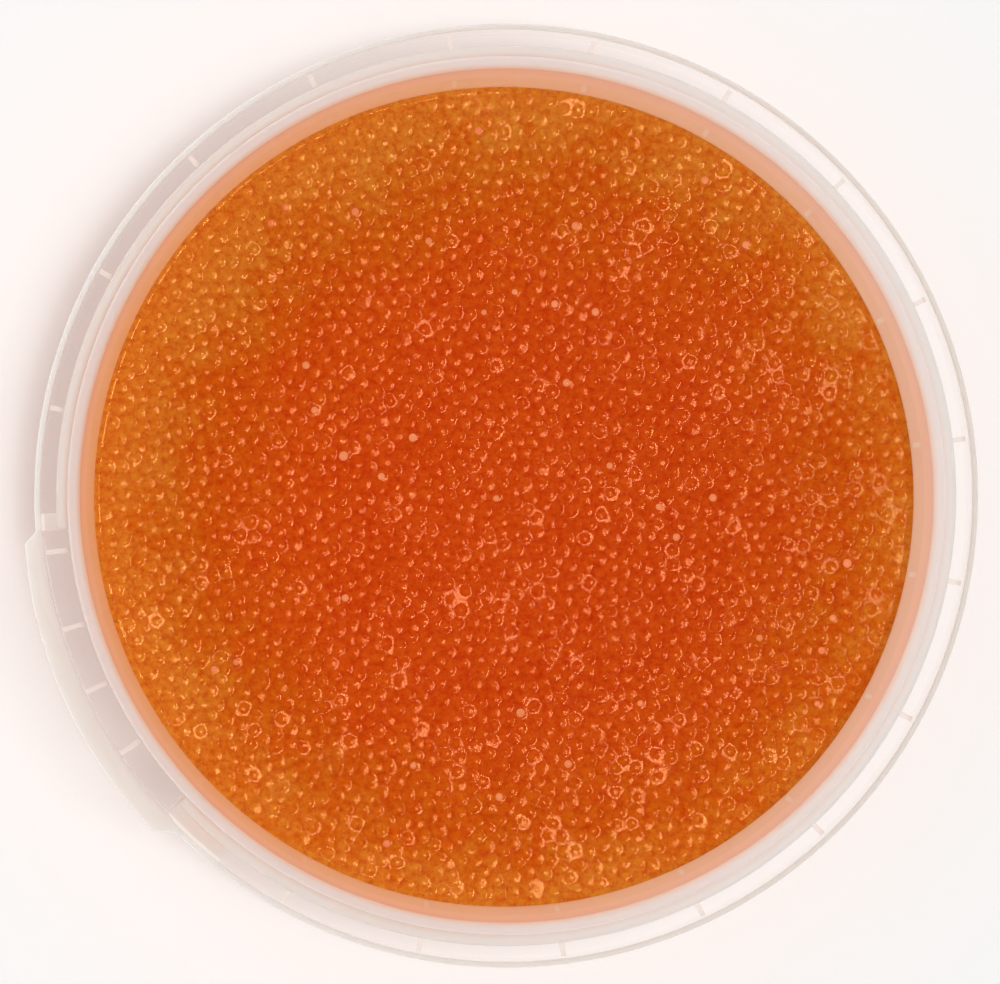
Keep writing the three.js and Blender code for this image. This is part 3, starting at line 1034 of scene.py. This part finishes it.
# %% Loose eggs' finish
loose_finish = Finish("wet_loose_eggs")
place = loose_finish.own_place()
speckle = loose_finish.ramp(
    loose_finish.noise(place, 900, 2), [(0.3, (0.76, 0.10, 0.008)), (0.7, (0.82, 0.15, 0.014))]
)
milkiness = loose_finish.math("MULTIPLY", loose_finish.noise(place, 2600, 2), 0.8)
milkiness = loose_finish.math("ADD", milkiness, 0.62, clamp=True)
pale_share = loose_finish.math("MULTIPLY", loose_finish.stored("paleness"), milkiness)
paled = loose_finish.mixed(speckle, (1.0, 0.32, 0.14), pale_share)
loose_finish.wire(paled, loose_finish.shader.inputs["Base Color"])
loose_finish.settings(Emission_Color=(1.0, 0.40, 0.20, 1), Emission_Strength=0.07)
loose_finish.settings(Roughness=0.08, IOR=1.37, Specular_Tint=(0.46, 0.21, 0.09, 1))
loose_eggs.data.materials.append(loose_finish.material)
print("nodes of the loose eggs' finish:", len(loose_finish.tree.nodes))

# %% [markdown]
# ### The tub's plastic
# Milky plastic scatters the light inside it, so it takes the colour of what lies behind: salmon
# on the inner wall near the roe, almost white on the rim, greyer on the side away from the
# window. Scattering alone would need many samples, and thin ribs would come out dark. So the
# scattering does the soft part, and the rest is painted light and shade: the colours follow the
# radius, the height and the side, with lit and shaded copies of the rim's colour.

# %% Plastic of the rim
# radii and heights of the finish are in metres, as the shader reads them
SIDES = (-0.045, 0.045)
RIM_START = 0.042
RIM_WIDTH = 0.006
tub_finish = Finish("milky_plastic")
place = tub_finish.own_place()
tub_shader = tub_finish.shader.inputs
x, y, height = tub_finish.axes(place)
from_axis = tub_finish.math("ADD", tub_finish.math("MULTIPLY", x, x), tub_finish.math("MULTIPLY", y, y))
from_axis = tub_finish.math("SQRT", from_axis)
cloud = tub_finish.uneven(place, 60, 3, 0.0004)
past_lip = tub_finish.math("SUBTRACT", tub_finish.math("ADD", from_axis, cloud), RIM_START)
outward = tub_finish.math("DIVIDE", past_lip, RIM_WIDTH, clamp=True)
# painted light and shade: a shaded copy of the rim's colour towards -x and a lit copy towards +x, the
# window's side
shaded = tub_finish.ramp(
    outward,
    [
        (0.15, (0.74, 0.60, 0.56)),
        (0.27, (0.75, 0.595, 0.56)),
        (0.42, (0.86, 0.76, 0.71)),
        (0.62, (0.84, 0.73, 0.68)),
        (0.9, (0.85, 0.74, 0.69)),
    ],
)
sunny = tub_finish.ramp(
    outward,
    [
        (0.15, (0.80, 0.66, 0.61)),
        (0.27, (0.84, 0.71, 0.68)),
        (0.42, (0.93, 0.84, 0.80)),
        (0.62, (0.93, 0.90, 0.88)),
        (0.80, (0.69, 0.60, 0.55)),
    ],
)
plastic = tub_finish.mixed(shaded, sunny, tub_finish.between(x, *SIDES))
print("rim colours run from", RIM_START / MM, "mm from the axis over", RIM_WIDTH / MM, "mm")

# %% Salmon of the inner wall: painted roe light
BESIDE_ROE = (0.0385, 0.0394)
WALL_EDGE = (0.0426, 0.0432)
WALL_RADIUS = 0.0425
# painted light: above the roe's level the wall takes the orange light that the roe casts on it and mirrors in
# it, weaker towards +x; below that level the roe shows through
inside = tub_finish.short_of(from_axis, *WALL_EDGE)
to_light = tub_finish.math("DIVIDE", x, WALL_RADIUS)
strength = tub_finish.math("SUBTRACT", 0.74, tub_finish.math("MULTIPLY", to_light, 0.24))
roe_behind = tub_finish.math("MULTIPLY", tub_finish.short_of(height, *BESIDE_ROE), 0.86)
strength = tub_finish.math("MAXIMUM", strength, roe_behind)
glow = tub_finish.ramp(
    height,
    [
        (0.0385, (0.98, 0.29, 0.08)),
        (0.0394, (0.98, 0.37, 0.13)),
        (0.0455, (0.98, 0.42, 0.19)),
        (0.0462, (0.98, 0.48, 0.25)),
        (0.0488, (0.97, 0.50, 0.28)),
        (0.0497, (0.84, 0.47, 0.31)),
    ],
)
salmon = tub_finish.mixed(plastic, glow, tub_finish.math("MULTIPLY", inside, strength))
print("the roe shows through the wall up to", BESIDE_ROE[1] / MM, "mm")

# %% [markdown]
# ### Marks of the ribs
# Each rib behind the inner wall shows through it as a short pale bar. Counting the angle in ribs,
# the distance to the nearest whole number tells how far a place is from a rib.

# %% Marks of the ribs on the inner wall
BAR_HALF = (0.012, 0.024)
BAR_FOOT = (0.0405, 0.0415)
BAR_HEAD = (0.0440, 0.0455)
angle = tub_finish.math("DIVIDE", tub_finish.math("ARCTAN2", y, x), math.radians(360 / RIBS))
turn = tub_finish.math("SUBTRACT", angle, RIB_FIRST / (360 / RIBS) - 0.5)
off_rib = tub_finish.math("ABSOLUTE", tub_finish.math("SUBTRACT", tub_finish.math("FRACT", turn), 0.5))
low_down = tub_finish.product(tub_finish.between(height, *BAR_FOOT), tub_finish.short_of(height, *BAR_HEAD))
# painted light: the bars stand for ribs seen through the wall and are stronger towards +x, the window's side
mark_strength = tub_finish.math("ADD", tub_finish.math("MULTIPLY", to_light, 0.22), 0.26)
on_wall = tub_finish.product(tub_finish.short_of(off_rib, *BAR_HALF), inside)
rib_mark = tub_finish.product(on_wall, tub_finish.product(low_down, mark_strength))
marked = tub_finish.mixed(salmon, (0.99, 0.86, 0.74), rib_mark)
print("bars on the inner wall:", RIBS)

# %% [markdown]
# ### Thin fins
# The ribs and the ring's skirt are half a millimetre thick. Scattering inside a fin that thin
# gives dark specks, so they have none: they are pale, let some light through, and glow a little.

# %% Fins, ribs and ring
RIB_HEAD = (0.0464, 0.0468)
RIB_START = (0.0440, 0.0443)
RIB_STOP = (0.0466, 0.0467)
SKIRT_HEAD = (0.0489, 0.0491)
SKIRT_START = (0.0463, 0.0464)
in_rib = tub_finish.product(
    tub_finish.short_of(height, *RIB_HEAD),
    tub_finish.between(from_axis, *RIB_START),
    tub_finish.short_of(from_axis, *RIB_STOP),
)
ring_low = tub_finish.product(
    tub_finish.short_of(height, *SKIRT_HEAD), tub_finish.between(from_axis, *SKIRT_START)
)
fin = tub_finish.math("MAXIMUM", in_rib, ring_low)
tub_finish.wire(tub_finish.math("SUBTRACT", 1.0, fin), tub_shader["Subsurface Weight"])
tub_finish.wire(tub_finish.mixed(marked, (0.94, 0.88, 0.84), fin), tub_shader["Base Color"])
tub_finish.settings(Roughness=0.4, Specular_IOR_Level=0.2, IOR=1.49)
tub_finish.settings(Subsurface_Radius=(1.0, 0.85, 0.75), Subsurface_Scale=0.004)
print("nodes of the plastic's colour:", len(tub_finish.tree.nodes))

# %% [markdown]
# ### How clear the plastic is
# The ring and the channel's floor let more light through where one looks along them or where they
# are thin, while their rounded top edges catch the light and look solid. The shader's alpha says
# how solid each place is. It follows the place and the way that the surface faces.

# %% Clearness of the plastic
TOP_EDGE = (0.0450, 0.0454)
CHANNEL_START = (0.0448, 0.0456)
UNDER_LIP = (0.0486, 0.0496)
upward = tub_finish.axes(tub_finish.node("ShaderNodeNewGeometry").outputs["Normal"])[2]
edge_on = tub_finish.node("ShaderNodeLayerWeight", _Blend=0.5).outputs["Facing"]
in_ring = tub_finish.between(from_axis, *CHANNEL_START)
on_edge = tub_finish.product(tub_finish.between(upward, 0.05, 0.35), tub_finish.between(height, *TOP_EDGE))
on_edge = tub_finish.product(
    on_edge, tub_finish.math("SUBTRACT", 1.0, tub_finish.math("MULTIPLY", in_rib, 0.4))
)
level_face = tub_finish.between(tub_finish.math("ABSOLUTE", upward), 0.3, 0.8)
low_face = tub_finish.product(level_face, tub_finish.short_of(height, *TOP_EDGE))
thin = tub_finish.math("MAXIMUM", edge_on, low_face)
body = tub_finish.math("SUBTRACT", 0.45, tub_finish.math("MULTIPLY", inside, 0.33))
body = tub_finish.math("ADD", body, tub_finish.product(ring_low, thin, 0.07))
clear = tub_finish.math("ADD", body, tub_finish.product(in_ring, thin, 0.45))
clear = tub_finish.product(clear, tub_finish.math("SUBTRACT", 1.0, on_edge))
tub_finish.wire(tub_finish.math("SUBTRACT", 1.0, clear), tub_shader["Alpha"])

# painted glow: emission that stands in for light scattered along the inner wall and in the fins
through = tub_finish.product(inside, tub_finish.short_of(height, *UNDER_LIP), 0.8)
through = tub_finish.math("ADD", through, fin)
scattered_light = tub_finish.ramp(through, [(0.0, (0, 0, 0)), (1.0, (1.0, 0.80, 0.70))])
tub_finish.wire(scattered_light, tub_shader["Emission Color"])
tub_finish.settings(Emission_Strength=0.09)
tub.data.materials.append(tub_finish.material)
print("nodes of the plastic's finish:", len(tub_finish.tree.nodes))

# %% [markdown]
# ### The table top
# The photo's ground is nearly white beside a soft shade at the tub's foot. A pale matt table with
# a faint light of its own comes near it. Under the tub that light is weaker: a painted shadow,
# centred a little off the axis away from the window, so that the shade seen through the clear ring
# keeps its depth.

# %% Table top's finish
SHADE_CENTRE = (-1.5, 1.3)
SHADE_EDGE = (0.0482, 0.0518)
floor_finish = Finish("pale_floor")
place = floor_finish.own_place()
floor_tone = floor_finish.noise(place, 3, 2)
floor_colour = floor_finish.ramp(floor_tone, [(0.3, (0.87, 0.915, 0.935)), (0.7, (0.885, 0.93, 0.95))])
floor_finish.wire(floor_colour, floor_finish.shader.inputs["Base Color"])
x, y, _ = floor_finish.axes(place)
outside = floor_finish.between(floor_finish.distance(x, y, SHADE_CENTRE), *SHADE_EDGE)
lit = floor_finish.ramp(outside, [(0.0, (0.27, 0.30, 0.30)), (1.0, (0.90, 0.98, 1.0))])
floor_finish.wire(lit, floor_finish.shader.inputs["Emission Color"])
floor_finish.settings(Roughness=0.7, Emission_Strength=0.20)
floor.data.materials.append(floor_finish.material)
print("nodes of the table top's finish:", len(floor_finish.tree.nodes))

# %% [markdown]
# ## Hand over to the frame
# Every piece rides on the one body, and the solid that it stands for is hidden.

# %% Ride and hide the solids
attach(tub, "root")
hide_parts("tub")
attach(roe, "root")
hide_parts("roe")
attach(loose_eggs, "root")
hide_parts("roe")

bpy.context.view_layer.update()
